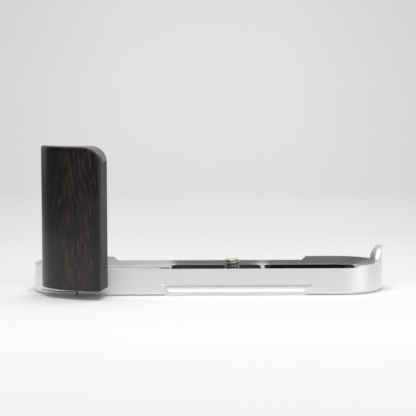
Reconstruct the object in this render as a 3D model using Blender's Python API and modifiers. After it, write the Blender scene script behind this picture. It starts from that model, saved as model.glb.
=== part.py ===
"""A camera base tray with a wooden hand grip.

A bead-blasted aluminium tray takes the bottom of a small camera. It carries a dark wooden grip
at its front left corner, a captive camera screw, two rubber floor pads, a battery door that
swings down on a pin, and a dovetail rail along each long edge.

Metres, +Z up. The origin is at the middle of the tray's underside, +X runs along the tray away
from the grip, and -Y is the front, where the grip stands out.
"""

import math

import bmesh
import bpy
from mathutils import Matrix, Vector

# Fits and fineness
CLEARANCE = 0.0003
OVERRUN = 0.001
WELD_DISTANCE = 0.000001
TURNED_MERGE = 0.00001
ARC_STEPS = 40
TURNED_STEPS = 48
SMALL_STEPS = 24
SHARP_ANGLE = math.radians(28)

# Tray
TRAY_LENGTH = 0.142
TRAY_WIDTH = 0.037
WALL = 0.0015
FLOOR_TOP = 0.008
FRONT_LIP_TOP = 0.01055
RIM_TOP = 0.0114
REAR_LOW_TOP = 0.0098
BOTTOM_FILLET = 0.0015
FILLET_STEPS = 6
RIM_SLOPE = 0.002
FRONT_LIP_INSET_LEFT = 0.0045
FRONT_LIP_REACH_RIGHT = 0.0065
REAR_LOW_INSET_LEFT = 0.0145
REAR_LOW_INSET_RIGHT = 0.0133

# Raised ear at the end away from the grip
EAR_TOP = 0.0179
EAR_HALF_ANGLE = 27.3
EAR_START_SHARE = 0.5
EAR_STEPS = 37

# Dovetail rails
RAIL_STAND_OUT = 0.0005
RAIL_FACET = 0.0023
RAIL_LEFT_REACH = 0.0242
RAIL_RIGHT_REACH = 0.0275
RAIL_LEAD = 0.0013
RAIL_EDGE = 0.0016
RAIL_END_SLANT = 0.0017
GROOVE_RADIUS = 0.006
GROOVE_TOP = 0.0047
GROOVE_UNDERCUT = 0.0002

# Camera screw, 1/4 inch with 20 turns to the inch
SCREW_X = 0.0097
THREAD_RADIUS = 0.003175
THREAD_ROOT_RADIUS = 0.0026
THREAD_PITCH = 0.00127
THREAD_TURNS = 3
THREAD_START = 0.0079
THREAD_CHAMFER = 0.0007
SCREW_HEAD_RADIUS = 0.0065
SCREW_HEAD_BOTTOM = 0.0004
SCREW_HEAD_TOP = 0.003
SCREW_HEAD_CHAMFER = 0.0004
SCREW_NECK_RADIUS = 0.0025
CLIP_GROOVE_RADIUS = 0.0019
CLIP_THICKNESS = 0.0006
CLIP_RADIUS = 0.005
CLIP_MOUTH = 0.0034
WASHER_THICKNESS = 0.0005
WASHER_BORE_RADIUS = 0.00345
SCREW_FLOAT = 0.0006
WEB_HOLE_RADIUS = 0.0035
COUNTERBORE_MARGIN = 0.0005
COIN_SLOT_WIDTH = 0.0016
COIN_SLOT_DEPTH = 0.001
SCREW_SOCKET_RADIUS = 0.0023
SCREW_SOCKET_DEPTH = 0.0016

# Rubber floor pads
PAD_THICKNESS = 0.0013
PAD_CORNER = 0.003
PAD_MARGIN = 0.0005
PAD_END_MARGIN = 0.0002
LEFT_PAD_LEFT_REACH = 0.0248
LEFT_PAD_RIGHT_REACH = 0.0118
PAD_SPACING = 0.0021
RIGHT_PAD_REACH = 0.008
PAD_HOLE_RADIUS = 0.0074
WELL_BORDER_LEFT = 0.0021
WELL_BORDER_RIGHT = 0.0032
WELL_BORDER_SIDE = 0.0024
WELL_WALL = 0.0011
WELL_FLOOR_Z = 0.003
WELL_CORNER = 0.0028

# Battery opening and door
OPENING_LEFT_REACH = 0.0047
OPENING_PAD_GAP = 0.0009
OPENING_FRONT_MARGIN = 0.005
OPENING_REAR_MARGIN = 0.008
OPENING_CORNER = 0.0009
DOOR_THICKNESS = 0.0016
DOOR_LEDGE = 0.0028
TAB_EDGE_OFFSET = 0.0002
TAB_SLIT = 0.00065
TAB_WRAP = 51
TAB_ARC_STOP = 10
TAB_CORNER = 0.0012
PLATFORM_TOP = 0.0079
PLATFORM_CORNER = 0.003
PLATFORM_LEFT_GAP = 0.0012
PLATFORM_FRONT_GAP = 0.0004
PLATFORM_REAR_GAP = 0.0006
PLATFORM_HINGE_GAP = 0.0021
HINGE_SETBACK = 0.0018
HINGE_Z = 0.00135
BARREL_RADIUS = 0.00125
BARREL_END_GAP = 0.0006
PIN_RADIUS = 0.0005
PIN_SEAT = 0.0015

# Door magnets
MAGNET_RADIUS = 0.0015
MAGNET_LENGTH = 0.0015
MAGNET_Z = 0.0044
MAGNET_SPACING = 0.01

# Wooden grip
GRIP_BOTTOM = 0.0035
GRIP_TOP = 0.060
GRIP_WRAP = 46.5
GRIP_TIP = 0.0008
GRIP_DEPTH = 0.0132
GRIP_REACH = 0.0104
GRIP_SIDE_SLANT = 0.002
GRIP_ROUNDNESS = 1.7
GRIP_BOTTOM_EDGE = 0.0005
GRIP_TOP_EDGE = 0.0011
GRIP_SIDE_CORNER = 0.0014
GRIP_TOP_CORNER = 0.0065
GRIP_CURVE_STEPS = 28
GRIP_BACK_STEPS = 16
GRIP_CORNER_STEPS = 6
GRIP_EDGE_STEPS = 3
GRIP_TOP_STEPS = 10

# Spine in the grip's back
SPINE_WIDTH = 0.010
SPINE_REACH = 0.0045
SPINE_THICKNESS = 0.0018
SPINE_DROP = 0.002
FOOT_DEPTH = 0.0058
FOOT_TOP = 0.0106

# Liner on the grip's inner face
LINER_MARGIN = 0.0015
LINER_DROP = 0.003
LINER_WRAP = 44

# Frame screws, M2 socket heads
FRAME_SCREW_RADIUS = 0.001
FRAME_SCREW_HEAD_RADIUS = 0.0019
FRAME_SCREW_HEAD = 0.002
FRAME_SCREW_SPACING = 0.005
FRAME_SCREW_Z = 0.0053
FRAME_SCREW_REACH = 0.0045
FRAME_SOCKET_RADIUS = 0.0009
FRAME_SOCKET_DEPTH = 0.001

# Grip screws, M3 countersunk, and their brass inserts
GRIP_SCREW_RADIUS = 0.0015
GRIP_SCREW_HEAD_RADIUS = 0.00275
GRIP_SCREW_SINK = 0.0002
GRIP_SCREW_LENGTH = 0.0078
GRIP_SCREW_COUNT = 3
GRIP_SCREW_LOWEST = 0.020
GRIP_SCREW_TOP_MARGIN = 0.005
GRIP_SOCKET_RADIUS = 0.0011
GRIP_SOCKET_DEPTH = 0.0008
INSERT_RADIUS = 0.0024
INSERT_LENGTH = 0.006

# Places that follow from the sizes above
half_span = (TRAY_LENGTH - TRAY_WIDTH) / 2
end_radius = TRAY_WIDTH / 2
cavity_radius = end_radius - WALL
grip_back = end_radius + CLEARANCE
grip_front_right = GRIP_REACH - half_span
grip_back_right = grip_front_right + GRIP_SIDE_SLANT
spine_centre_x = SPINE_REACH - half_span
spine_top = GRIP_TOP - SPINE_DROP
ear_start = half_span + cavity_radius * EAR_START_SHARE
rail_left = SCREW_X - RAIL_LEFT_REACH
rail_right = SCREW_X + RAIL_RIGHT_REACH
rail_half_width = end_radius + RAIL_STAND_OUT
groove_centre_y = rail_half_width - RAIL_FACET + GROOVE_RADIUS
pad_recess_floor = FLOOR_TOP - PAD_THICKNESS - CLEARANCE
pad_half_width = cavity_radius - PAD_MARGIN
recess_end_radius = cavity_radius - PAD_END_MARGIN
left_pad_start = SCREW_X - LEFT_PAD_LEFT_REACH
left_pad_end = SCREW_X + LEFT_PAD_RIGHT_REACH
right_pad_start = left_pad_end + PAD_SPACING
right_pad_end = half_span + RIGHT_PAD_REACH
clip_bottom = pad_recess_floor + CLEARANCE
washer_bottom = SCREW_HEAD_TOP + CLEARANCE
web_bottom = washer_bottom + WASHER_THICKNESS + SCREW_FLOAT + CLEARANCE
opening_left = -half_span - OPENING_LEFT_REACH
opening_right = left_pad_start - OPENING_PAD_GAP
opening_front = OPENING_FRONT_MARGIN - cavity_radius
opening_rear = cavity_radius - OPENING_REAR_MARGIN
door_left = opening_left - DOOR_LEDGE
door_front = opening_front + CLEARANCE
door_rear = opening_rear - CLEARANCE
tab_edge = -half_span - TAB_EDGE_OFFSET
hinge_x = opening_right - HINGE_SETBACK
platform_left = opening_left + PLATFORM_LEFT_GAP
platform_right = hinge_x - PLATFORM_HINGE_GAP
magnet_hole_radius = MAGNET_RADIUS + CLEARANCE
magnet_middle_y = (opening_front + opening_rear) / 2
frame_screw_seat = opening_front - FRAME_SCREW_HEAD - CLEARANCE
insert_start = grip_back + SPINE_THICKNESS + 2 * CLEARANCE

for old in list(bpy.data.objects):
    bpy.data.objects.remove(old)

parts = bpy.data.collections.new("camera_hand_grip")
cutters = bpy.data.collections.new("cutters")
bpy.context.scene.collection.children.link(parts)
bpy.context.scene.collection.children.link(cutters)


def material(name, colour, roughness, metallic):
    """A plain Principled material."""
    made = bpy.data.materials.new(name)
    made.use_nodes = True
    shader = made.node_tree.nodes["Principled BSDF"]
    shader.inputs["Base Color"].default_value = (*colour, 1)
    shader.inputs["Roughness"].default_value = roughness
    shader.inputs["Metallic"].default_value = metallic
    return made


def new_solid(name, mesh):
    """A mesh object in the parts' collection."""
    solid = bpy.data.objects.new(name, mesh)
    parts.objects.link(solid)
    return solid


def arc(centre, radius, start, end, steps=ARC_STEPS):
    """Points on a circle from one angle to another, in degrees."""
    points = []
    for step in range(steps + 1):
        angle = math.radians(start + (end - start) * step / steps)
        points.append((centre[0] + radius * math.cos(angle), centre[1] + radius * math.sin(angle)))
    return points


def circle(centre, radius, steps=TURNED_STEPS):
    """A full circle, with no point twice."""
    return arc(centre, radius, 0, 360, steps)[:-1]


def stadium(low_x, high_x, centre_y, radius):
    """Two half circles joined by straight lines."""
    right = arc((high_x, centre_y), radius, -90, 90)
    left = arc((low_x, centre_y), radius, 90, 270)
    return right + left


def rounded_rectangle(low_x, high_x, low_y, high_y, corner):
    """A rectangle with round corners."""
    outline = []
    outline += arc((high_x - corner, low_y + corner), corner, -90, 0, SMALL_STEPS // 4)
    outline += arc((high_x - corner, high_y - corner), corner, 0, 90, SMALL_STEPS // 4)
    outline += arc((low_x + corner, high_y - corner), corner, 90, 180, SMALL_STEPS // 4)
    outline += arc((low_x + corner, low_y + corner), corner, 180, 270, SMALL_STEPS // 4)
    return outline


def slab(name, outlines, low, high, facing="Z"):
    """A flat outline, with any holes after it, made solid from low to high along one axis."""
    curve = bpy.data.curves.new(name, "CURVE")
    curve.dimensions = "2D"
    curve.fill_mode = "BOTH"
    curve.extrude = (high - low) / 2
    for outline in outlines:
        spline = curve.splines.new("POLY")
        spline.points.add(len(outline) - 1)
        spline.use_cyclic_u = True
        for point, (across, up) in zip(spline.points, outline):
            point.co = (across, up, 0, 1)
    middle = (low + high) / 2
    quarter = math.pi / 2
    place = {"X": (middle, 0, 0), "Y": (0, middle, 0), "Z": (0, 0, middle)}
    turn = {"X": (quarter, 0, quarter), "Y": (quarter, 0, 0), "Z": (0, 0, 0)}
    drawn = bpy.data.objects.new(name + "_outline", curve)
    drawn.location = place[facing]
    drawn.rotation_euler = turn[facing]
    cutters.objects.link(drawn)
    bpy.context.view_layer.update()
    graph = bpy.context.evaluated_depsgraph_get()
    mesh = bpy.data.meshes.new_from_object(drawn.evaluated_get(graph))
    welded = bmesh.new()
    welded.from_mesh(mesh)
    bmesh.ops.remove_doubles(welded, verts=welded.verts, dist=WELD_DISTANCE)
    bmesh.ops.recalc_face_normals(welded, faces=welded.faces)
    welded.to_mesh(mesh)
    welded.free()
    solid = new_solid(name, mesh)
    solid.matrix_world = drawn.matrix_world
    bpy.data.objects.remove(drawn)
    return solid


def block(name, low, high):
    """A plain box between two corners."""
    corners = [(low[0], low[1]), (high[0], low[1]), (high[0], high[1]), (low[0], high[1])]
    return slab(name, [corners], low[2], high[2])


def rod(name, radius, start, end, segments=SMALL_STEPS):
    """A cylinder between two points."""
    axis = Vector(end) - Vector(start)
    mesh = bpy.data.meshes.new(name)
    shape = bmesh.new()
    bmesh.ops.create_cone(
        shape, cap_ends=True, segments=segments, radius1=radius, radius2=radius, depth=axis.length
    )
    shape.to_mesh(mesh)
    shape.free()
    solid = new_solid(name, mesh)
    solid.location = (Vector(start) + Vector(end)) / 2
    solid.rotation_euler = axis.to_track_quat("Z", "Y").to_euler()
    return solid


def turned(name, profile, place, toward_rear=False, ring=False, steps=SMALL_STEPS):
    """A profile of (radius, height), top to bottom, turned about its own upright axis.

    A ring's profile closes on itself. A piece that lies toward the rear has its top at +Y.
    """
    mesh = bpy.data.meshes.new(name)
    edges = [(index, index + 1) for index in range(len(profile) - 1)]
    if ring:
        edges.append((len(profile) - 1, 0))
    mesh.from_pydata([(radius, 0, height) for radius, height in profile], edges, [])
    solid = new_solid(name, mesh)
    solid.location = place
    if toward_rear:
        solid.rotation_euler.x = -math.pi / 2
    screw = solid.modifiers.new("turn", "SCREW")
    screw.steps = steps
    screw.render_steps = steps
    screw.use_merge_vertices = True
    screw.merge_threshold = TURNED_MERGE
    return solid


def loft(name, rings):
    """A solid skinned over rings of points that match one another, with a flat cap at each end."""
    shape = bmesh.new()
    made = [[shape.verts.new(point) for point in ring] for ring in rings]
    for lower, upper in zip(made, made[1:]):
        for index in range(len(lower)):
            following = (index + 1) % len(lower)
            shape.faces.new((lower[index], lower[following], upper[following], upper[index]))
    shape.faces.new(made[0])
    shape.faces.new(made[-1])
    bmesh.ops.recalc_face_normals(shape, faces=shape.faces)
    mesh = bpy.data.meshes.new(name)
    shape.to_mesh(mesh)
    shape.free()
    return new_solid(name, mesh)


def stadium_loft(name, low_x, high_x, centre_y, levels):
    """A stadium whose radius changes with height, from levels of (height, radius)."""
    rings = []
    for height, radius in levels:
        rings.append([(x, y, height) for x, y in stadium(low_x, high_x, centre_y, radius)])
    return loft(name, rings)


def combine(target, helper, operation):
    """A live Boolean, whose helper is kept out of the render."""
    parts.objects.unlink(helper)
    cutters.objects.link(helper)
    helper.hide_render = True
    helper.display_type = "WIRE"
    boolean = target.modifiers.new(helper.name, "BOOLEAN")
    boolean.operation = operation
    boolean.solver = "EXACT"
    boolean.object = helper


def cut(target, helper):
    combine(target, helper, "DIFFERENCE")


def join(target, helper):
    combine(target, helper, "UNION")


def keep_common(target, helper):
    combine(target, helper, "INTERSECT")


def finish(solid, look):
    """Gives a piece its material, with round faces shaded smooth."""
    solid.data.materials.clear()
    solid.data.materials.append(look)
    if solid.data.polygons:
        solid.data.shade_smooth()
        solid.data.set_sharp_from_angle(angle=SHARP_ANGLE)


def hang_on(pivot_name, place, solids):
    """An empty on a joint's axis, with the pieces that move about it as its children."""
    pivot = bpy.data.objects.new(pivot_name, None)
    pivot.location = place
    pivot.empty_display_size = BARREL_RADIUS
    parts.objects.link(pivot)
    for solid in solids:
        solid.parent = pivot
        solid.matrix_parent_inverse = Matrix.Translation(place).inverted()


def tray_envelope(name, top):
    """The tray's outer shape, with the round edge along its bottom."""
    levels = []
    for step in range(FILLET_STEPS + 1):
        angle = math.pi / 2 * step / FILLET_STEPS
        height = BOTTOM_FILLET * (1 - math.cos(angle))
        levels.append((height, end_radius - BOTTOM_FILLET * (1 - math.sin(angle))))
    levels.append((top, end_radius))
    return stadium_loft(name, -half_span, half_span, 0, levels)


def low_rim(name, left, right, level, low_y, high_y):
    """A cutter that lowers one long side of the rim, with a slope at each end."""
    top = RIM_TOP + OVERRUN
    run = RIM_SLOPE * (top - level) / (RIM_TOP - level)
    outline = [(left, level), (right, level), (right + run, top), (left - run, top)]
    return slab(name, [outline], low_y, high_y, "Y")


def ear_trim():
    """A cutter that leaves an elliptical ear standing on the rim."""
    half_width = end_radius * math.sin(math.radians(EAR_HALF_ANGLE))
    above = EAR_TOP + 2 * OVERRUN
    outside = end_radius + OVERRUN
    outline = [(outside, RIM_TOP)]
    for step in range(EAR_STEPS + 1):
        angle = math.pi * step / EAR_STEPS
        y = half_width * math.cos(angle)
        outline.append((y, RIM_TOP + (EAR_TOP - RIM_TOP) * math.sin(angle)))
    outline += [(-outside, RIM_TOP), (-outside, above), (outside, above)]
    start = ear_start - OVERRUN
    return slab("ear_trim", [outline], start, half_span + outside, "X")


def rail_flange():
    """The plate that both rails' edges stand on, wider than the tray, with slanted ends."""
    left = rail_left - RAIL_LEAD
    outline = []
    for side in (-1, 1):
        edge = [
            (left - RAIL_END_SLANT, side * (end_radius - WALL)),
            (left - RAIL_END_SLANT, side * end_radius),
            (left, side * rail_half_width),
            (rail_right, side * rail_half_width),
            (rail_right + RAIL_END_SLANT, side * end_radius),
            (rail_right + RAIL_END_SLANT, side * (end_radius - WALL)),
        ]
        outline += edge if side < 0 else edge[::-1]
    return slab("rail_flange", [outline], 0, RAIL_EDGE + RAIL_STAND_OUT + CLEARANCE)


def rail_groove(name, side):
    """A cutter for one rail's groove: upright at its root, slanted at 45 degrees below."""
    low_radius = GROOVE_RADIUS - RAIL_FACET
    levels = [
        (RAIL_EDGE - GROOVE_UNDERCUT, low_radius - GROOVE_UNDERCUT),
        (RAIL_EDGE + RAIL_FACET, GROOVE_RADIUS),
        (GROOVE_TOP, GROOVE_RADIUS),
    ]
    return stadium_loft(name, rail_left, rail_right, side * groove_centre_y, levels)


def pad_outline(low_x, high_x, grow):
    """A floor pad in plan, or its recess when grown."""
    half_width = pad_half_width + grow
    corner = PAD_CORNER + grow
    return rounded_rectangle(low_x - grow, high_x + grow, -half_width, half_width, corner)


def well_outline(inset):
    """The mouth of the right pad's well, or what lies inside it when inset."""
    return rounded_rectangle(
        right_pad_start + WELL_BORDER_LEFT + inset,
        right_pad_end - WELL_BORDER_RIGHT - inset,
        -pad_half_width + WELL_BORDER_SIDE + inset,
        pad_half_width - WELL_BORDER_SIDE - inset,
        WELL_CORNER - inset,
    )


def door_outline(grow, edge, corner):
    """The door's skirt and finger tab in plan, or their recess when grown."""
    wrap = math.radians(TAB_WRAP)
    outward = Vector((-math.sin(wrap), -math.cos(wrap)))
    beside = Vector((-math.cos(wrap), math.sin(wrap)))
    centre = Vector((-half_span, 0))
    outside = end_radius + OVERRUN
    reach = (centre.x + grow * beside.x - door_left + grow) / math.sin(wrap)
    inner = centre + grow * beside + reach * outward
    outer = centre + grow * beside + outside * outward
    outline = [(hinge_x, door_front - grow), (hinge_x, door_rear + grow)]
    outline += [(door_left - grow, door_rear + grow), tuple(inner), tuple(outer)]
    outline += arc(centre, outside, 270 - TAB_WRAP, 270 - TAB_ARC_STOP, SMALL_STEPS)[1:]
    outline.append((edge - corner, -outside))
    if corner:
        outline += arc((edge - corner, corner - end_radius), corner, -90, 0, SMALL_STEPS // 4)
    else:
        outline.append((edge, -outside))
    outline.append((edge, door_front - grow))
    return outline


def magnet_discs(name, radius, low_x, high_x):
    """Two discs with upright faces, or their two holes, the front one first."""
    discs = []
    for number, side in enumerate((-1, 1), 1):
        y = magnet_middle_y + side * MAGNET_SPACING / 2
        disc = rod(f"{name}_{number}", radius, (low_x, y, MAGNET_Z), (high_x, y, MAGNET_Z))
        discs.append(disc)
    return discs


def make_base_frame(look):
    """The tray: its envelope, hollowed, trimmed along the rim, and cut for all that it holds."""
    frame = tray_envelope("base_frame", EAR_TOP + OVERRUN)
    above = EAR_TOP + 2 * OVERRUN
    outside = end_radius + OVERRUN
    join(frame, rail_flange())
    cavity_levels = [(FLOOR_TOP, cavity_radius), (above, cavity_radius)]
    cut(frame, stadium_loft("cavity", -half_span, half_span, 0, cavity_levels))
    cut(frame, block("rim_trim", (-half_span - outside, -outside, RIM_TOP), (ear_start, outside, above)))
    cut(frame, ear_trim())
    front_left = FRONT_LIP_INSET_LEFT - half_span
    front_right = half_span + FRONT_LIP_REACH_RIGHT
    inside = cavity_radius - OVERRUN
    cut(frame, low_rim("front_lip", front_left, front_right, FRONT_LIP_TOP, -outside, 0))
    rear_left = REAR_LOW_INSET_LEFT - half_span
    rear_right = half_span - REAR_LOW_INSET_RIGHT
    cut(frame, low_rim("rear_lip", rear_left, rear_right, REAR_LOW_TOP, inside, outside))
    cut(frame, rail_groove("front_groove", -1))
    cut(frame, rail_groove("rear_groove", 1))
    cut_floor(frame)
    cut_battery_opening(frame)
    finish(frame, look)
    return frame


def cut_floor(frame):
    """Recesses for the pads, the well's pocket, and the camera screw's holes."""
    above = FLOOR_TOP + OVERRUN
    left_recess = pad_outline(left_pad_start, left_pad_end, CLEARANCE)
    cut(frame, slab("left_recess", [left_recess], pad_recess_floor, above))
    right_recess = slab(
        "right_recess",
        [pad_outline(right_pad_start, right_pad_end, CLEARANCE)],
        pad_recess_floor,
        above,
    )
    radius = recess_end_radius
    limits = [(pad_recess_floor - OVERRUN, radius), (above + OVERRUN, radius)]
    keep_common(right_recess, stadium_loft("recess_limits", -half_span, half_span, 0, limits))
    cut(frame, right_recess)
    pocket_floor = WELL_FLOOR_Z - WELL_WALL - CLEARANCE
    pocket = [well_outline(-WELL_WALL - CLEARANCE)]
    cut(frame, slab("well_pocket", pocket, pocket_floor, pad_recess_floor + OVERRUN))
    bore = SCREW_HEAD_RADIUS + COUNTERBORE_MARGIN
    cut(frame, rod("counterbore", bore, (SCREW_X, 0, -OVERRUN), (SCREW_X, 0, web_bottom), TURNED_STEPS))
    top = pad_recess_floor + OVERRUN
    cut(frame, rod("web_hole", WEB_HOLE_RADIUS, (SCREW_X, 0, 0), (SCREW_X, 0, top), TURNED_STEPS))


def cut_battery_opening(frame):
    """The opening, the door's recess, and the holes that open into it."""
    opening = rounded_rectangle(
        opening_left, opening_right, opening_front, opening_rear, OPENING_CORNER
    )
    cut(frame, slab("battery_opening", [opening], -OVERRUN, FLOOR_TOP + OVERRUN))
    recess = door_outline(CLEARANCE, tab_edge + TAB_SLIT, 0)
    cut(frame, slab("door_recess", [recess], -OVERRUN, DOOR_THICKNESS + CLEARANCE))
    seats = PIN_SEAT + CLEARANCE
    front_end = (hinge_x, opening_front - seats, HINGE_Z)
    rear_end = (hinge_x, opening_rear + seats, HINGE_Z)
    cut(frame, rod("pin_seats", PIN_RADIUS + CLEARANCE, front_end, rear_end))
    magnet_floor = opening_left - MAGNET_LENGTH - 2 * CLEARANCE
    mouth = opening_left + OVERRUN
    for seat in magnet_discs("frame_magnet_seat", magnet_hole_radius, magnet_floor, mouth):
        cut(frame, seat)
    for number, x in enumerate(frame_screw_places(), 1):
        head_hole = FRAME_SCREW_HEAD_RADIUS + CLEARANCE
        inner = (x, opening_front + OVERRUN, FRAME_SCREW_Z)
        seat_place = (x, frame_screw_seat, FRAME_SCREW_Z)
        cut(frame, rod(f"screw_seat_{number}", head_hole, seat_place, inner))
        outer = (x, -end_radius - OVERRUN, FRAME_SCREW_Z)
        cut(frame, rod(f"screw_hole_{number}", FRAME_SCREW_RADIUS + CLEARANCE, outer, inner))


def frame_screw_places():
    return [
        spine_centre_x - FRAME_SCREW_SPACING / 2,
        spine_centre_x + FRAME_SCREW_SPACING / 2,
    ]


def grip_screw_heights():
    pitch = (spine_top - GRIP_SCREW_TOP_MARGIN - GRIP_SCREW_LOWEST) / (GRIP_SCREW_COUNT - 1)
    return [GRIP_SCREW_LOWEST + index * pitch for index in range(GRIP_SCREW_COUNT)]


def make_battery_door(look):
    """Skirt and finger tab, with the platform that fills the opening and the hinge barrel."""
    door = slab("battery_door", [door_outline(0, tab_edge, TAB_CORNER)], 0, DOOR_THICKNESS)
    keep_common(door, tray_envelope("door_envelope", FLOOR_TOP))
    platform = rounded_rectangle(
        platform_left,
        platform_right,
        opening_front + PLATFORM_FRONT_GAP,
        opening_rear - PLATFORM_REAR_GAP,
        PLATFORM_CORNER,
    )
    join(door, slab("door_platform", [platform], DOOR_THICKNESS / 2, PLATFORM_TOP))
    front_end = (hinge_x, opening_front + BARREL_END_GAP, HINGE_Z)
    rear_end = (hinge_x, opening_rear - BARREL_END_GAP, HINGE_Z)
    join(door, rod("door_barrel", BARREL_RADIUS, front_end, rear_end))
    bore_front = (hinge_x, opening_front, HINGE_Z)
    bore_rear = (hinge_x, opening_rear, HINGE_Z)
    cut(door, rod("door_bore", PIN_RADIUS + CLEARANCE, bore_front, bore_rear))
    magnet_floor = platform_left + MAGNET_LENGTH + CLEARANCE
    mouth = platform_left - OVERRUN
    for seat in magnet_discs("door_magnet_seat", magnet_hole_radius, mouth, magnet_floor):
        cut(door, seat)
    finish(door, look)
    return door


def make_hinge_pin(look):
    pin = rod(
        "door_hinge_pin",
        PIN_RADIUS,
        (hinge_x, opening_front - PIN_SEAT, HINGE_Z),
        (hinge_x, opening_rear + PIN_SEAT, HINGE_Z),
        SMALL_STEPS,
    )
    finish(pin, look)


def make_magnets(look):
    """Door and frame magnets, which face each other across the gap at the door's free end."""
    on_door = magnet_discs(
        "door_magnet", MAGNET_RADIUS, platform_left, platform_left + MAGNET_LENGTH
    )
    in_frame = magnet_discs(
        "frame_magnet",
        MAGNET_RADIUS,
        opening_left - MAGNET_LENGTH - CLEARANCE,
        opening_left - CLEARANCE,
    )
    for magnet in on_door + in_frame:
        finish(magnet, look)
    return on_door


def make_camera_screw(look):
    """A captive screw: head below, neck with the clip's groove, then the thread."""
    groove_bottom = clip_bottom - CLEARANCE
    groove_top = clip_bottom + CLIP_THICKNESS + CLEARANCE
    thread_top = THREAD_START + THREAD_TURNS * THREAD_PITCH
    tip = thread_top + THREAD_CHAMFER
    profile = [(0, tip), (THREAD_ROOT_RADIUS, tip)]
    for turn in range(THREAD_TURNS):
        crest = thread_top - turn * THREAD_PITCH
        profile.append((THREAD_RADIUS, crest))
        profile.append((THREAD_ROOT_RADIUS, crest - THREAD_PITCH / 2))
    profile += [(THREAD_RADIUS, THREAD_START), (SCREW_NECK_RADIUS, THREAD_START)]
    profile += [(SCREW_NECK_RADIUS, groove_top), (CLIP_GROOVE_RADIUS, groove_top)]
    profile += [(CLIP_GROOVE_RADIUS, groove_bottom), (SCREW_NECK_RADIUS, groove_bottom)]
    profile += [(SCREW_NECK_RADIUS, SCREW_HEAD_TOP), (SCREW_HEAD_RADIUS, SCREW_HEAD_TOP)]
    profile.append((SCREW_HEAD_RADIUS, SCREW_HEAD_BOTTOM + SCREW_HEAD_CHAMFER))
    profile.append((SCREW_HEAD_RADIUS - SCREW_HEAD_CHAMFER, SCREW_HEAD_BOTTOM))
    profile.append((0, SCREW_HEAD_BOTTOM))
    screw = turned("camera_screw", profile, (SCREW_X, 0, 0), steps=TURNED_STEPS)
    half_slot = COIN_SLOT_WIDTH / 2
    reach = SCREW_HEAD_RADIUS + OVERRUN
    slot_low = (SCREW_X - reach, -half_slot, SCREW_HEAD_BOTTOM - OVERRUN)
    slot_high = (SCREW_X + reach, half_slot, SCREW_HEAD_BOTTOM + COIN_SLOT_DEPTH)
    cut(screw, block("coin_slot", slot_low, slot_high))
    socket_low = (SCREW_X, 0, SCREW_HEAD_BOTTOM - OVERRUN)
    socket_high = (SCREW_X, 0, SCREW_HEAD_BOTTOM + SCREW_SOCKET_DEPTH)
    cut(screw, rod("screw_socket", SCREW_SOCKET_RADIUS, socket_low, socket_high, 6))
    finish(screw, look)
    return screw


def make_screw_washer(look):
    centre = (SCREW_X, 0)
    rings = [circle(centre, SCREW_HEAD_RADIUS), circle(centre, WASHER_BORE_RADIUS)]
    washer = slab("screw_washer", rings, washer_bottom, washer_bottom + WASHER_THICKNESS)
    finish(washer, look)
    return washer


def make_screw_clip(look):
    """A flat retaining ring with an open mouth, on the screw's groove above the web."""
    centre = (SCREW_X, 0)
    inner_radius = CLIP_GROOVE_RADIUS + CLEARANCE
    outer_mouth = math.degrees(math.asin(CLIP_MOUTH / 2 / CLIP_RADIUS))
    inner_mouth = math.degrees(math.asin(CLIP_MOUTH / 2 / inner_radius))
    outline = arc(centre, CLIP_RADIUS, outer_mouth, 360 - outer_mouth)
    outline += arc(centre, inner_radius, 360 - inner_mouth, inner_mouth, SMALL_STEPS)
    clip = slab("screw_clip", [outline], clip_bottom, clip_bottom + CLIP_THICKNESS)
    finish(clip, look)
    return clip


def make_floor_pads(look):
    """The left pad has a hole for the screw, and the right one a well moulded in it."""
    pad_bottom = FLOOR_TOP - PAD_THICKNESS
    hole = circle((SCREW_X, 0), PAD_HOLE_RADIUS)
    left = [pad_outline(left_pad_start, left_pad_end, 0), hole]
    finish(slab("floor_pad_left", left, pad_bottom, FLOOR_TOP), look)
    right = slab("floor_pad_right", [pad_outline(right_pad_start, right_pad_end, 0)], pad_bottom, FLOOR_TOP)
    radius = recess_end_radius - CLEARANCE
    limits = [(0, radius), (FLOOR_TOP + OVERRUN, radius)]
    keep_common(right, stadium_loft("pad_limits", -half_span, half_span, 0, limits))
    cup_bottom = WELL_FLOOR_Z - WELL_WALL
    cup = slab("well_cup", [well_outline(-WELL_WALL)], cup_bottom, pad_bottom + CLEARANCE)
    join(right, cup)
    cut(right, slab("well_hollow", [well_outline(0)], WELL_FLOOR_Z, FLOOR_TOP + OVERRUN))
    finish(right, look)


def grip_front_y(x, inset):
    """How far the grip's front curve stands out at x: a superellipse from the tip to the corner."""
    tip = grip_tip()
    half_length = grip_front_right - tip.x - inset
    half_depth = end_radius + GRIP_DEPTH + tip.y - inset
    along = min(1, abs(x - grip_front_right) / half_length)
    return tip.y - half_depth * (1 - along**GRIP_ROUNDNESS) ** (1 / GRIP_ROUNDNESS)


def grip_tip():
    """The grip's left tip, where it thins out along the tray's round end."""
    wrap = math.radians(GRIP_WRAP)
    radius = grip_back + GRIP_TIP
    return Vector((-half_span - radius * math.sin(wrap), -radius * math.cos(wrap)))


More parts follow.
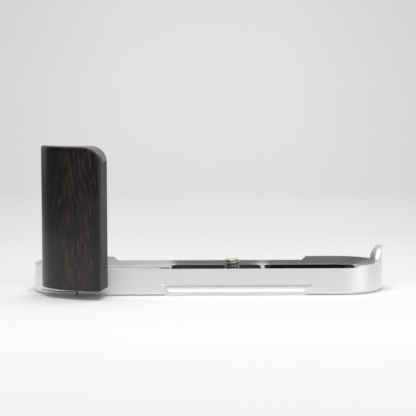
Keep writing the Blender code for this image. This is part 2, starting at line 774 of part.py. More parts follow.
def grip_ring(height, inset, shift):
    """The grip in plan at one height: back along the tray, round to the tip, front and side."""
    back_right = grip_back_right - shift
    front_right = grip_front_right - shift
    outline = [(back_right, -grip_back)]
    outline += arc((-half_span, 0), grip_back, 270, 270 - GRIP_WRAP, GRIP_BACK_STEPS)
    slant = math.atan2(GRIP_SIDE_SLANT, GRIP_DEPTH)
    corner_x = front_right - GRIP_SIDE_CORNER * (1 - math.sin(slant)) / math.cos(slant)
    start_x = grip_tip().x + inset
    for step in range(GRIP_CURVE_STEPS + 1):
        x = start_x + (corner_x - start_x) * (1 - math.cos(math.pi / 2 * step / GRIP_CURVE_STEPS))
        outline.append((x, grip_front_y(x, inset)))
    radius = GRIP_SIDE_CORNER - inset
    centre = (corner_x, grip_front_y(corner_x, inset) + radius)
    outline += arc(centre, radius, -90, -math.degrees(slant), GRIP_CORNER_STEPS)[1:]
    return [(x, y, height) for x, y in outline]


def grip_levels():
    """Heights with how far the front edge is rounded off and how far the side leans in there."""
    levels = []
    for step in range(GRIP_EDGE_STEPS + 1):
        angle = math.pi / 2 * step / GRIP_EDGE_STEPS
        height = GRIP_BOTTOM + GRIP_BOTTOM_EDGE * (1 - math.cos(angle))
        levels.append((height, GRIP_BOTTOM_EDGE * (1 - math.sin(angle)), 0))
    for step in range(GRIP_TOP_STEPS + 1):
        angle = math.pi / 2 * step / GRIP_TOP_STEPS
        height = GRIP_TOP - GRIP_TOP_CORNER * (1 - math.sin(angle))
        into_edge = max(0, height - GRIP_TOP + GRIP_TOP_EDGE)
        inset = GRIP_TOP_EDGE - math.sqrt(GRIP_TOP_EDGE**2 - into_edge**2)
        levels.append((height, inset, GRIP_TOP_CORNER * (1 - math.cos(angle))))
    return levels


def spine_outline(grow):
    """The spine from its side, as (y, z), or its pocket in the wood when grown."""
    back = -grip_back if grow == 0 else OVERRUN - grip_back
    bottom = GRIP_BOTTOM if grow == 0 else GRIP_BOTTOM - OVERRUN
    plate = -grip_back - SPINE_THICKNESS - grow
    foot = -grip_back - FOOT_DEPTH - grow
    return [
        (foot, bottom),
        (back, bottom),
        (back, spine_top + grow),
        (plate, spine_top + grow),
        (plate, FOOT_TOP + grow),
        (foot, FOOT_TOP + grow),
    ]


def make_grip_block(look):
    """The wood, lofted up from its foot, with a pocket for the spine and holes for the inserts."""
    rings = [grip_ring(height, inset, shift) for height, inset, shift in grip_levels()]
    grip = loft("grip_block", rings)
    half_width = SPINE_WIDTH / 2 + CLEARANCE
    low_x = spine_centre_x - half_width
    high_x = spine_centre_x + half_width
    cut(grip, slab("spine_pocket", [spine_outline(CLEARANCE)], low_x, high_x, "X"))
    radius = INSERT_RADIUS + CLEARANCE
    bottom = -insert_start - INSERT_LENGTH - CLEARANCE
    for number, height in enumerate(grip_screw_heights(), 1):
        deep = (spine_centre_x, bottom, height)
        shallow = (spine_centre_x, -grip_back, height)
        cut(grip, rod(f"insert_hole_{number}", radius, deep, shallow))
    finish(grip, look)


def countersink(name, height):
    """A cutter that gives a grip screw its room in the spine."""
    around = CLEARANCE * math.sqrt(2)
    sink = GRIP_SCREW_SINK
    head = GRIP_SCREW_HEAD_RADIUS + around
    shank = GRIP_SCREW_RADIUS + CLEARANCE
    below = SPINE_THICKNESS + OVERRUN
    profile = [(0, OVERRUN), (head + sink + OVERRUN, OVERRUN)]
    profile += [(shank, shank - head - sink), (shank, -below), (0, -below)]
    return turned(name, profile, (spine_centre_x, -grip_back, height), toward_rear=True)


def make_grip_spine(look):
    """A plate let into the wood, whose thick foot takes the frame screws."""
    low_x = spine_centre_x - SPINE_WIDTH / 2
    high_x = spine_centre_x + SPINE_WIDTH / 2
    spine = slab("grip_spine", [spine_outline(0)], low_x, high_x, "X")
    for number, height in enumerate(grip_screw_heights(), 1):
        cut(spine, countersink(f"countersink_{number}", height))
    for number, x in enumerate(frame_screw_places(), 1):
        front = (x, -grip_back - FOOT_DEPTH - OVERRUN, FRAME_SCREW_Z)
        rear = (x, -end_radius, FRAME_SCREW_Z)
        cut(spine, rod(f"foot_hole_{number}", FRAME_SCREW_RADIUS + CLEARANCE, front, rear))
    finish(spine, look)


def make_frame_screws(look):
    """Socket screws whose heads lie in the battery opening's front wall."""
    shank = frame_screw_seat + CLEARANCE + grip_back + FRAME_SCREW_REACH
    profile = [(0, FRAME_SCREW_HEAD), (FRAME_SCREW_HEAD_RADIUS, FRAME_SCREW_HEAD)]
    profile += [(FRAME_SCREW_HEAD_RADIUS, 0), (FRAME_SCREW_RADIUS, 0)]
    profile += [(FRAME_SCREW_RADIUS, -shank), (0, -shank)]
    under_head = frame_screw_seat + CLEARANCE
    top = under_head + FRAME_SCREW_HEAD
    for number, x in enumerate(frame_screw_places(), 1):
        place = (x, under_head, FRAME_SCREW_Z)
        screw = turned(f"frame_screw_{number}", profile, place, toward_rear=True)
        floor = (x, top - FRAME_SOCKET_DEPTH, FRAME_SCREW_Z)
        mouth = (x, top + OVERRUN, FRAME_SCREW_Z)
        cut(screw, rod(f"frame_screw_socket_{number}", FRAME_SOCKET_RADIUS, floor, mouth, 6))
        finish(screw, look)


def make_grip_screws(look):
    """Countersunk screws from the camera's side, through the spine into the wood's inserts."""
    head = GRIP_SCREW_HEAD_RADIUS
    shank = GRIP_SCREW_RADIUS
    profile = [(0, 0), (head, 0), (shank, shank - head)]
    profile += [(shank, -GRIP_SCREW_LENGTH), (0, -GRIP_SCREW_LENGTH)]
    top = -grip_back - GRIP_SCREW_SINK
    for number, height in enumerate(grip_screw_heights(), 1):
        place = (spine_centre_x, top, height)
        screw = turned(f"grip_screw_{number}", profile, place, toward_rear=True)
        floor = (spine_centre_x, top - GRIP_SOCKET_DEPTH, height)
        mouth = (spine_centre_x, top + OVERRUN, height)
        cut(screw, rod(f"grip_screw_socket_{number}", GRIP_SOCKET_RADIUS, floor, mouth, 6))
        finish(screw, look)


def make_grip_inserts(look):
    """Brass bushes in the wood, just in front of the spine."""
    inner = GRIP_SCREW_RADIUS + CLEARANCE
    profile = [(INSERT_RADIUS, 0), (INSERT_RADIUS, -INSERT_LENGTH)]
    profile += [(inner, -INSERT_LENGTH), (inner, 0)]
    for number, height in enumerate(grip_screw_heights(), 1):
        place = (spine_centre_x, -insert_start, height)
        finish(turned(f"grip_insert_{number}", profile, place, toward_rear=True, ring=True), look)


def make_grip_liner(look):
    """A thin band that follows the tray's wall line above the rim, on the wood's inner face."""
    right = grip_back_right - LINER_MARGIN
    centre = (-half_span, 0)
    outline = [(right, -end_radius)]
    outline += arc(centre, end_radius, 270, 270 - LINER_WRAP, GRIP_BACK_STEPS)
    outline += arc(centre, cavity_radius, 270 - LINER_WRAP, 270, GRIP_BACK_STEPS)
    outline.append((right, -cavity_radius))
    finish(slab("grip_liner", [outline], RIM_TOP + CLEARANCE, GRIP_TOP - LINER_DROP), look)


aluminium = material("bead_blasted_aluminium", (0.79, 0.8, 0.81), 0.38, 1)
black_metal = material("black_anodised_aluminium", (0.02, 0.02, 0.022), 0.45, 1)
steel = material("steel", (0.62, 0.62, 0.63), 0.3, 1)
brass = material("brass", (0.72, 0.52, 0.22), 0.35, 1)
nylon = material("nylon", (0.75, 0.74, 0.7), 0.5, 0)
rubber = material("black_rubber", (0.02, 0.02, 0.02), 0.75, 0)
wood = material("dark_wood", (0.035, 0.024, 0.022), 0.45, 0)

make_base_frame(aluminium)
battery_door = make_battery_door(aluminium)
make_hinge_pin(steel)
door_magnets = make_magnets(steel)
hang_on("door_hinge", (hinge_x, 0, HINGE_Z), [battery_door] + door_magnets)
make_camera_screw(steel)
screw_washer = make_screw_washer(nylon)
screw_clip = make_screw_clip(steel)
hang_on("screw_axis", (SCREW_X, 0, 0), [screw_washer, screw_clip])
make_floor_pads(rubber)
make_grip_block(wood)
make_grip_spine(black_metal)
make_frame_screws(steel)
make_grip_screws(steel)
make_grip_inserts(brass)
make_grip_liner(rubber)
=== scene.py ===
"""A camera base tray with a dark wooden hand grip, on a sweep of pale paper in a small studio.

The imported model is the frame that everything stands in: metres, +Z up, -Y towards the viewer, and
the origin at the middle of the tray's underside. Each section below dresses one piece or a group
of like pieces, in the order in which the object is put together.
"""

import math

import bmesh
import bpy
from mathutils import Matrix, Vector


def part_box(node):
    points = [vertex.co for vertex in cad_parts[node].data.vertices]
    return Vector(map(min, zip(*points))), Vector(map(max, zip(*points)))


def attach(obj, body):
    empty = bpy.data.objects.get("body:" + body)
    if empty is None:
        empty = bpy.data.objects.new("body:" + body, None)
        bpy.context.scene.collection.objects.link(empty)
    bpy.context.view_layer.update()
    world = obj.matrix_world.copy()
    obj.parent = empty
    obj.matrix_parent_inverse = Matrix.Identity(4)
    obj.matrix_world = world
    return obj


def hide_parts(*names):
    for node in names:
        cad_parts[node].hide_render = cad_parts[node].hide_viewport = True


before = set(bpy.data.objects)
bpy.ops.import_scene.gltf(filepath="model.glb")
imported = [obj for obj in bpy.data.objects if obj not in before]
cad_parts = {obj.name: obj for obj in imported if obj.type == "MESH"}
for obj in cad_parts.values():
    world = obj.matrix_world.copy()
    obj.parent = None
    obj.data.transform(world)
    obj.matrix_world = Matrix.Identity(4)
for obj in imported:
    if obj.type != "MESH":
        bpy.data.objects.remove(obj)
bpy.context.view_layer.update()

# The studio: a sweep of matt pale paper, which runs flat under the object and curves up far behind
# it. Soft lamps hang overhead, in front and over the backdrop, and a tall narrow one at the right
# draws the bright line on the tray's round end. The camera looks a little down.


def linear(colour):
    """An sRGB hex colour as the linear RGBA that sockets take."""
    channels = [int(colour[start : start + 2], 16) / 255 for start in (1, 3, 5)]
    curve = [c / 12.92 if c <= 0.04045 else ((c + 0.055) / 1.055) ** 2.4 for c in channels]
    return (*curve, 1)


def add_node(tree, kind, inputs=(), stops=None, **settings):
    """One node with its settings, its inputs by name or in order, and a colour ramp's stops.

    An input takes a value, another node's output, or a node for its first output.
    """
    node = tree.nodes.new(kind)
    for name, value in settings.items():
        setattr(node, name, value)
    for name, value in (inputs.items() if isinstance(inputs, dict) else enumerate(inputs)):
        if isinstance(value, bpy.types.Node):
            value = value.outputs[0]
        if isinstance(value, bpy.types.NodeSocket):
            tree.links.new(value, node.inputs[name])
        else:
            node.inputs[name].default_value = value
    if stops:
        ramp = node.color_ramp.elements
        while len(ramp) < len(stops):
            ramp.new(1)
        for element, (place, colour) in zip(ramp, stops):
            element.position = place
            element.color = linear(colour)
    return node


def new_material(name, **finish):
    """A material with a Principled shader, the shader's own sockets set by name."""
    made = bpy.data.materials.new(name)
    made.use_nodes = True
    shader = made.node_tree.nodes["Principled BSDF"]
    for socket, value in finish.items():
        shader.inputs[socket.replace("_", " ")].default_value = value
    return made, made.node_tree, shader


SWEEP_FRONT = -0.36
SWEEP_FLAT_END = 0.5
SWEEP_RADIUS = 0.6
SWEEP_TOP = 1.3
SWEEP_HALF_WIDTH = 0.75
SWEEP_STEPS = 32

sweep_profile = [(SWEEP_FRONT, 0), (SWEEP_FLAT_END, 0)]
for step in range(1, SWEEP_STEPS + 1):
    angle = math.pi / 2 * step / SWEEP_STEPS
    y, z = SWEEP_FLAT_END + SWEEP_RADIUS * math.sin(angle), SWEEP_RADIUS * (1 - math.cos(angle))
    sweep_profile.append((y, z))
sweep_profile.append((SWEEP_FLAT_END + SWEEP_RADIUS, SWEEP_TOP))
sweep_mesh = bpy.data.meshes.new("paper_sweep")
sweep_shape = bmesh.new()
columns = [
    [sweep_shape.verts.new((x, y, z)) for y, z in sweep_profile]
    for x in (-SWEEP_HALF_WIDTH, SWEEP_HALF_WIDTH)
]
for row in range(len(sweep_profile) - 1):
    left, right = columns
    face = sweep_shape.faces.new((left[row], right[row], right[row + 1], left[row + 1]))
    face.smooth = True
sweep_shape.to_mesh(sweep_mesh)
sweep_shape.free()
sweep = bpy.data.objects.new("paper_sweep", sweep_mesh)
bpy.context.scene.collection.objects.link(sweep)

# Matt paper: no gloss. Its colour carries painted shade: it is palest along the middle and far
# behind, and painted greyer in front and at both sides, where the lamps' light falls off, so that
# the metal and the wood mirror a dimmer floor there.
paper, nodes, shader = new_material("matt_paper_sweep", Roughness=1.0)
shader.inputs["Specular IOR Level"].default_value = 0
place = add_node(nodes, "ShaderNodeTexCoord")
axes = add_node(nodes, "ShaderNodeSeparateXYZ", {0: place.outputs["Object"]})
run = add_node(nodes, "ShaderNodeMath", (axes.outputs["Y"], axes.outputs["Z"]), operation="ADD")
share = add_node(
    nodes, "ShaderNodeMapRange", {"Value": run, "From Min": SWEEP_FRONT, "From Max": SWEEP_TOP}
)
# Painted shade along the run: greyer in front of the object, where the light falls off, and palest
# far behind.
painted_falloff_along = add_node(
    nodes,
    "ShaderNodeValToRGB",
    {"Fac": share},
    stops=[
        (0, "#dedede"),
        (0.08, "#d5d5d5"),
        (0.15, "#e0e0e0"),
        (0.35, "#dedede"),
        (0.5, "#ededed"),
        (0.75, "#f5f5f5"),
    ],
)
# Painted shade across: the paper greys towards both sides, where the lamps' pool of light falls
# off.
aside = add_node(nodes, "ShaderNodeMath", (axes.outputs["X"],), operation="ABSOLUTE")
share = add_node(nodes, "ShaderNodeMapRange", {"Value": aside, "From Max": SWEEP_HALF_WIDTH})
painted_falloff_across = add_node(
    nodes,
    "ShaderNodeValToRGB",
    {"Fac": share},
    stops=[(0.1, "#ffffff"), (0.31, "#f5f5f5"), (0.48, "#a6a6a6")],
)
MIX_COLOUR_A, MIX_COLOUR_B, MIX_COLOUR_RESULT = 6, 7, 2
tone = add_node(
    nodes,
    "ShaderNodeMix",
    {"Factor": 1.0, MIX_COLOUR_A: painted_falloff_along, MIX_COLOUR_B: painted_falloff_across},
    data_type="RGBA",
    blend_type="MULTIPLY",
)
nodes.links.new(tone.outputs[MIX_COLOUR_RESULT], shader.inputs["Base Color"])
sweep_mesh.materials.append(paper)

# The room: pale walls, which show at full strength only to the camera and in glossy or clear
# surfaces. The lamps do nearly all of the lighting.
WALL_TONE = "#e2e2e2"
ROOM_LEVEL = 0.15
world = bpy.data.worlds.new("pale_room")
world.use_nodes = True
room = world.node_tree.nodes["Background"]
room.inputs["Color"].default_value = linear(WALL_TONE)
ray = add_node(world.node_tree, "ShaderNodeLightPath")
seen = add_node(
    world.node_tree,
    "ShaderNodeMath",
    (ray.outputs["Is Camera Ray"], ray.outputs["Is Glossy Ray"]),
    operation="MAXIMUM",
)
seen = add_node(
    world.node_tree,
    "ShaderNodeMath",
    (seen, ray.outputs["Is Transmission Ray"]),
    operation="MAXIMUM",
)
level = add_node(world.node_tree, "ShaderNodeMapRange", {"Value": seen, "To Min": ROOM_LEVEL})
world.node_tree.links.new(level.outputs[0], room.inputs["Strength"])
bpy.context.scene.world = world

# The curtain: dark cloth round the front and both sides, so that the oiled wood and the blasted
# metal mirror a dim room above the bright floor. The cloth glows faintly white, a painted glow in
# place of the room light that would fall on it. The camera sees past it.
CURTAIN_RADIUS = 1.25
CURTAIN_REACH = math.radians(115)
CURTAIN_LOW, CURTAIN_HIGH = -0.5, 1.0
CURTAIN_STEPS = 46
CURTAIN_PAINTED_GLOW = 0.14
curtain_shape = bmesh.new()
strip = []
for step in range(CURTAIN_STEPS + 1):
    turn = CURTAIN_REACH * (2 * step / CURTAIN_STEPS - 1)
    x, y = CURTAIN_RADIUS * math.sin(turn), -CURTAIN_RADIUS * math.cos(turn)
    strip.append([curtain_shape.verts.new((x, y, z)) for z in (CURTAIN_LOW, CURTAIN_HIGH)])
for here, there in zip(strip, strip[1:]):
    curtain_shape.faces.new((here[1], here[0], there[0], there[1]))
curtain_mesh = bpy.data.meshes.new("dark_curtain")
curtain_shape.to_mesh(curtain_mesh)
curtain_shape.free()
curtain = bpy.data.objects.new("dark_curtain", curtain_mesh)
bpy.context.scene.collection.objects.link(curtain)
# The cloth is black, with a faint white painted glow instead of being lit.
dark_cloth_painted_glow, nodes, shader = new_material(
    "dark_cloth_painted_glow", Roughness=1.0, Emission_Strength=CURTAIN_PAINTED_GLOW
)
shader.inputs["Base Color"].default_value = linear("#000000")
shader.inputs["Emission Color"].default_value = linear("#ffffff")
shader.inputs["Specular IOR Level"].default_value = 0
curtain_mesh.materials.append(dark_cloth_painted_glow)
curtain.visible_camera = False

# The lamps: rectangular softboxes. The big ones are kept out of reflections, so that the metal
# mirrors only a faint sheen from overhead, a strip in front and the tall lamp at the right.


def hang_softbox(name, place, aim, width, height, watts, mirrored=True):
    """A rectangular lamp at a place, turned to face another, and mirrored in gloss or not."""
    lamp = bpy.data.lights.new(name, "AREA")
    lamp.shape = "RECTANGLE"
    lamp.size = width
    lamp.size_y = height
    lamp.energy = watts
    holder = bpy.data.objects.new(name, lamp)
    holder.location = place
    holder.rotation_euler = (Vector(aim) - Vector(place)).to_track_quat("-Z", "Y").to_euler()
    holder.visible_glossy = mirrored
    bpy.context.scene.collection.objects.link(holder)


hang_softbox(
    "overhead_softbox",
    place=(0, -0.05, 0.75),
    aim=(0, -0.02, 0),
    width=0.55,
    height=0.42,
    watts=3.4,
    mirrored=False,
)
hang_softbox(
    "overhead_sheen",
    place=(0, -0.05, 0.74),
    aim=(0, -0.02, 0),
    width=0.55,
    height=0.42,
    watts=0.7,
)
hang_softbox(
    "front_strip", place=(0, -0.45, 0.55), aim=(0, 0, 0.03), width=0.8, height=0.07, watts=1.3
)
hang_softbox(
    "front_fill",
    place=(0, -0.85, 0.28),
    aim=(0, 0, 0),
    width=1.2,
    height=0.3,
    watts=4.1,
    mirrored=False,
)
hang_softbox(
    "backdrop_softbox",
    place=(0, 0.3, 0.95),
    aim=(0, 1, 0.25),
    width=1.2,
    height=0.4,
    watts=3.6,
    mirrored=False,
)
hang_softbox(
    "right_softbox",
    place=(0.62, -0.4, 0.12),
    aim=(0.05, 0, 0.02),
    width=0.22,
    height=0.7,
    watts=1.2,
)

# The camera: a long lens, 60 cm in front of the grip. It looks a little down, and the lens is
# shifted a little too, so that the grip's sides stay nearly upright.
CAMERA_PLACE = (0.0, -0.6185, 0.0878)
CAMERA_PITCH = math.radians(3.2)
CAMERA_ROLL = math.radians(-0.23)
CAMERA_LENS = 131.2
SENSOR_WIDTH = 36
CAMERA_SHIFT = -0.1163
NEAREST_SEEN = 0.01
camera_data = bpy.data.cameras.new("camera")
camera_data.lens = CAMERA_LENS
camera_data.sensor_width = SENSOR_WIDTH
camera_data.shift_y = CAMERA_SHIFT
camera_data.clip_start = NEAREST_SEEN
camera = bpy.data.objects.new("camera", camera_data)
camera.matrix_world = (
    Matrix.Translation(CAMERA_PLACE)
    @ Matrix.Rotation(math.pi / 2 - CAMERA_PITCH, 4, "X")
    @ Matrix.Rotation(CAMERA_ROLL, 4, "Z")
)
bpy.context.scene.collection.objects.link(camera)
bpy.context.scene.camera = camera
bpy.context.scene.view_settings.view_transform = "Standard"

# The tray: machined from solid aluminium, fine bead-blasted and clear anodised. The blasting breaks
# every reflection into a soft even glow, and a light deburring has eased all its edges.
FRAME_EDGE_EASE = 0.00015
MERGE_REACH = 1e-6
FLAT_ANGLE = math.radians(0.3)
SHARP_ANGLE = math.radians(32)
EASE_SEGMENTS = 2


def dressed_copy(node, name, ease):
    """The node's mesh merged into one skin, its sharp edges eased and its round faces smoothed."""
    skin = bmesh.new()
    skin.from_mesh(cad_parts[node].data)
    bmesh.ops.remove_doubles(skin, verts=skin.verts, dist=MERGE_REACH)
    bmesh.ops.dissolve_limit(skin, angle_limit=FLAT_ANGLE, verts=skin.verts, edges=skin.edges)
    for face in skin.faces:
        face.smooth = True
    mesh = bpy.data.meshes.new(name)
    skin.to_mesh(mesh)
    skin.free()
    piece = bpy.data.objects.new(name, mesh)
    bpy.context.scene.collection.objects.link(piece)
    if ease:
        edges = piece.modifiers.new("eased_edges", "BEVEL")
        edges.width = ease
        edges.segments = EASE_SEGMENTS
        edges.limit_method = "ANGLE"
        edges.angle_limit = SHARP_ANGLE
        edges.harden_normals = True
        edges.use_clamp_overlap = True
    normals = piece.modifiers.new("even_normals", "WEIGHTED_NORMAL")
    normals.keep_sharp = True
    evaluated = piece.evaluated_get(bpy.context.evaluated_depsgraph_get())
    finished = bpy.data.meshes.new_from_object(evaluated)
    finished.name = name
    piece.modifiers.clear()
    piece.data = finished
    return piece


def settle(piece, finish, body, node):
    """Gives a piece its finish and its body, and hides the CAD node that it stands for."""
    piece.data.materials.clear()
    piece.data.materials.append(finish)
    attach(piece, body)
    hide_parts(node)


# Clear anodised aluminium over a bead blast of about 0.1 mm grain, drawn at 0.35 mm so that it
# shows: a satin grey metal with soft broad highlights.
MM_PER_METRE = 1000
BLAST_GRAIN_MM = 0.35
blasted_aluminium, nodes, shader = new_material(
    "bead_blasted_aluminium", Metallic=1.0, Roughness=0.48
)
place = add_node(nodes, "ShaderNodeTexCoord")
grain = add_node(
    nodes,
    "ShaderNodeTexNoise",
    {"Vector": place.outputs["Object"], "Scale": MM_PER_METRE / BLAST_GRAIN_MM, "Detail": 2.0},
)
tone = add_node(
    nodes,
    "ShaderNodeValToRGB",
    {"Fac": grain.outputs["Fac"]},
    stops=[(0.3, "#f5f5f5"), (0.7, "#fbfbfb")],
)
relief = add_node(
    nodes,
    "ShaderNodeBump",
    {"Strength": 0.12, "Distance": 0.00002, "Height": grain.outputs["Fac"]},
)
nodes.links.new(tone.outputs["Color"], shader.inputs["Base Color"])
nodes.links.new(relief.outputs["Normal"], shader.inputs["Normal"])

tray = dressed_copy("base_frame", "tray", FRAME_EDGE_EASE)
settle(tray, blasted_aluminium, "base", "base_frame")

# The battery door: milled and blasted like the tray, with a finger tab at the front left and a
# platform that fills the opening in the floor. It swings down on a pin at its right end.
door = dressed_copy("battery_door", "hinged_door", FRAME_EDGE_EASE)
settle(door, blasted_aluminium, "door", "battery_door")

# The hinge pin: a ground stainless steel rod, pressed into the tray at both ends of the door's
# barrel. Grinding leaves a dull mirror, with marks drawn 0.2 mm wide so that they show.
PIN_EDGE_EASE = 0.0001
GRINDING_MM = 0.2
ground_steel, nodes, shader = new_material("ground_stainless_steel", Metallic=1.0, Roughness=0.22)
place = add_node(nodes, "ShaderNodeTexCoord")
lines = add_node(
    nodes,
    "ShaderNodeTexNoise",
    {"Vector": place.outputs["Object"], "Scale": MM_PER_METRE / GRINDING_MM, "Detail": 3.0},
)
tone = add_node(
    nodes,
    "ShaderNodeValToRGB",
    {"Fac": lines.outputs["Fac"]},
    stops=[(0.3, "#c3c3c4"), (0.7, "#d6d6d7")],
)
relief = add_node(
    nodes,
    "ShaderNodeBump",
    {"Strength": 0.1, "Distance": 0.00001, "Height": lines.outputs["Fac"]},
)
nodes.links.new(tone.outputs["Color"], shader.inputs["Base Color"])
nodes.links.new(relief.outputs["Normal"], shader.inputs["Normal"])
pin = dressed_copy("door_hinge_pin", "hinge_pin", PIN_EDGE_EASE)
settle(pin, ground_steel, "base", "door_hinge_pin")

# The magnets: four sintered discs, two pressed into the door and two into the tray. Bright nickel
# plate makes them mirrors, with the slightest yellow and a haze from handling.
MAGNET_EDGE_EASE = 0.00015
HANDLING_MM = 1.0
nickel, nodes, shader = new_material("bright_nickel_plate", Metallic=1.0, Roughness=0.12)
place = add_node(nodes, "ShaderNodeTexCoord")
haze = add_node(
    nodes,
    "ShaderNodeTexNoise",
    {"Vector": place.outputs["Object"], "Scale": MM_PER_METRE / HANDLING_MM, "Detail": 2.0},
)
tone = add_node(
    nodes,
    "ShaderNodeValToRGB",
    {"Fac": haze.outputs["Fac"]},
    stops=[(0.3, "#d0cec6"), (0.7, "#dedcd6")],
)
nodes.links.new(tone.outputs["Color"], shader.inputs["Base Color"])
for holder, body in (("door", "door"), ("frame", "base")):
    for number in (1, 2):
        node = f"{holder}_magnet_{number}"
        magnet = dressed_copy(node, f"{holder}_magnet_disc_{number}", MAGNET_EDGE_EASE)
        settle(magnet, nickel, body, node)

# The camera screw: turned stainless steel, with a 1/4 inch thread of 20 turns to the inch rolled on
# it, a neck for the retaining ring, and a head below with a coin slot and a hexagon socket. The
# thread's flanks run between two shares of the pitch, counted from the crest's middle.
THREAD_RADIUS = 0.003175
THREAD_ROOT = 0.00262
THREAD_PITCH = 0.00127
THREAD_START = 0.0079
THREAD_SIDES = 96
THREAD_ROWS = 96
CREST_SHARE = 0.1
ROOT_SHARE = 0.43
TIP_CHAMFER = 0.0007
NECK_CUT = 0.0001
NECK_OVERLAP = 0.00005
screw_low, screw_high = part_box("camera_screw")
screw_centre = (screw_low + screw_high) / 2

threading = bpy.data.node_groups.new("rolled_thread", "GeometryNodeTree")
sockets = threading.interface
for label, value in (
    ("Crest Radius", THREAD_RADIUS),
    ("Root Radius", THREAD_ROOT),
    ("Tip Radius", THREAD_RADIUS - TIP_CHAMFER),
    ("Pitch", THREAD_PITCH),
    ("Length", screw_high.z - THREAD_START),
):
    made = sockets.new_socket(label, in_out="INPUT", socket_type="NodeSocketFloat")
    made.default_value = value
sockets.new_socket("Steel", in_out="INPUT", socket_type="NodeSocketMaterial")
sockets.new_socket("Geometry", in_out="OUTPUT", socket_type="NodeSocketGeometry")
given = add_node(threading, "NodeGroupInput").outputs
blank = add_node(
    threading,
    "GeometryNodeMeshCylinder",
    {
        "Vertices": THREAD_SIDES,
        "Side Segments": THREAD_ROWS,
        "Radius": given["Crest Radius"],
        "Depth": given["Length"],
    },
)
spot = add_node(threading, "GeometryNodeInputPosition")
axes = add_node(threading, "ShaderNodeSeparateXYZ", (spot,))
turn = add_node(
    threading, "ShaderNodeMath", (axes.outputs["Y"], axes.outputs["X"]), operation="ARCTAN2"
)
turn = add_node(threading, "ShaderNodeMath", (turn, 2 * math.pi), operation="DIVIDE")
climb = add_node(
    threading, "ShaderNodeMath", (axes.outputs["Z"], given["Pitch"]), operation="DIVIDE"
)
climb = add_node(threading, "ShaderNodeMath", (climb, turn), operation="SUBTRACT")
winding = add_node(threading, "ShaderNodeMath", (climb, 0.5), operation="PINGPONG")
flank = add_node(
    threading,
    "ShaderNodeMapRange",
    {
        "Value": winding,
        "From Min": CREST_SHARE,
        "From Max": ROOT_SHARE,
        "To Min": given["Crest Radius"],
        "To Max": given["Root Radius"],
    },
)
cone = add_node(
    threading,
    "ShaderNodeMath",
    (given["Length"], 0.5, given["Tip Radius"]),
    operation="MULTIPLY_ADD",
)
cone = add_node(threading, "ShaderNodeMath", (cone, axes.outputs["Z"]), operation="SUBTRACT")
radius = add_node(threading, "ShaderNodeMath", (flank, cone), operation="MINIMUM")
share = add_node(threading, "ShaderNodeMath", (radius, given["Crest Radius"]), operation="DIVIDE")
share = add_node(threading, "ShaderNodeCombineXYZ", (share, share, 1.0))
moved = add_node(threading, "ShaderNodeVectorMath", (spot, share), operation="MULTIPLY")
wound = add_node(threading, "GeometryNodeSetPosition", {"Geometry": blank, "Position": moved})
middle = (screw_centre.x, screw_centre.y, (THREAD_START + screw_high.z) / 2)
placed = add_node(threading, "GeometryNodeTransform", {"Geometry": wound, "Translation": middle})
smooth = add_node(
    threading,
    "GeometryNodeSetShadeSmooth",
    {"Geometry": placed, "Selection": blank.outputs["Side"]},
)
real = add_node(threading, "GeometryNodeRealizeInstances", {"Geometry": smooth})
finished = add_node(
    threading, "GeometryNodeSetMaterial", {"Geometry": real, "Material": given["Steel"]}
)
add_node(threading, "NodeGroupOutput", {"Geometry": finished})

# Turned stainless steel: tool marks round the axis, bright with sharp small glints. Real ones are
# finer, and they are drawn 0.75 mm apart so that they show. A wave texture has 20 radians a unit.
TOOL_MARK_MM = 0.754
WAVE_RADIANS = 20
turned_steel, nodes, shader = new_material("turned_stainless_steel", Metallic=1.0, Roughness=0.13)
place = add_node(nodes, "ShaderNodeTexCoord")
marks = add_node(
    nodes,
    "ShaderNodeTexWave",
    {
        "Vector": place.outputs["Object"],
        "Scale": 2 * math.pi * MM_PER_METRE / (TOOL_MARK_MM * WAVE_RADIANS),
        "Distortion": 2.0,
        "Detail": 2.0,
    },
    bands_direction="Z",
)
tone = add_node(
    nodes,
    "ShaderNodeValToRGB",
    {"Fac": marks.outputs["Fac"]},
    stops=[(0.2, "#9f9c96"), (0.8, "#cdc9c3")],
)
relief = add_node(
    nodes,
    "ShaderNodeBump",
    {"Strength": 0.15, "Distance": 0.00001, "Height": marks.outputs["Fac"]},
)
nodes.links.new(tone.outputs["Color"], shader.inputs["Base Color"])
nodes.links.new(relief.outputs["Normal"], shader.inputs["Normal"])

# The CAD's screw is cut off just below its rings. The neck's new end is drawn up a little way into
# the wound thread, so that the two hold together.
screw_skin = bmesh.new()
screw_skin.from_mesh(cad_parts["camera_screw"].data)
bmesh.ops.remove_doubles(screw_skin, verts=screw_skin.verts, dist=MERGE_REACH)
geometry = screw_skin.verts[:] + screw_skin.edges[:] + screw_skin.faces[:]
bmesh.ops.bisect_plane(
    screw_skin,
    geom=geometry,
    plane_co=(0, 0, THREAD_START - NECK_CUT),
    plane_no=(0, 0, 1),
    clear_outer=True,
)
bmesh.ops.holes_fill(screw_skin, edges=screw_skin.edges)
for corner in screw_skin.verts:
    if corner.co.z > THREAD_START - NECK_CUT - MERGE_REACH:
        corner.co.z = THREAD_START + NECK_OVERLAP
screw_mesh = bpy.data.meshes.new("camera_screw_turned")
screw_skin.to_mesh(screw_mesh)
screw_skin.free()
thread_object = bpy.data.objects.new("thread", bpy.data.meshes.new("thread"))
bpy.context.scene.collection.objects.link(thread_object)
rolling = thread_object.modifiers.new("rolled_thread", "NODES")
rolling.node_group = threading
for item in threading.interface.items_tree:
    if item.in_out == "INPUT" and item.name == "Steel":
        rolling[item.identifier] = turned_steel
thread_mesh = bpy.data.meshes.new_from_object(
    thread_object.evaluated_get(bpy.context.evaluated_depsgraph_get())
)
bpy.data.objects.remove(thread_object)
screw_skin = bmesh.new()
screw_skin.from_mesh(screw_mesh)
screw_skin.from_mesh(thread_mesh)
screw_skin.to_mesh(screw_mesh)
screw_skin.free()
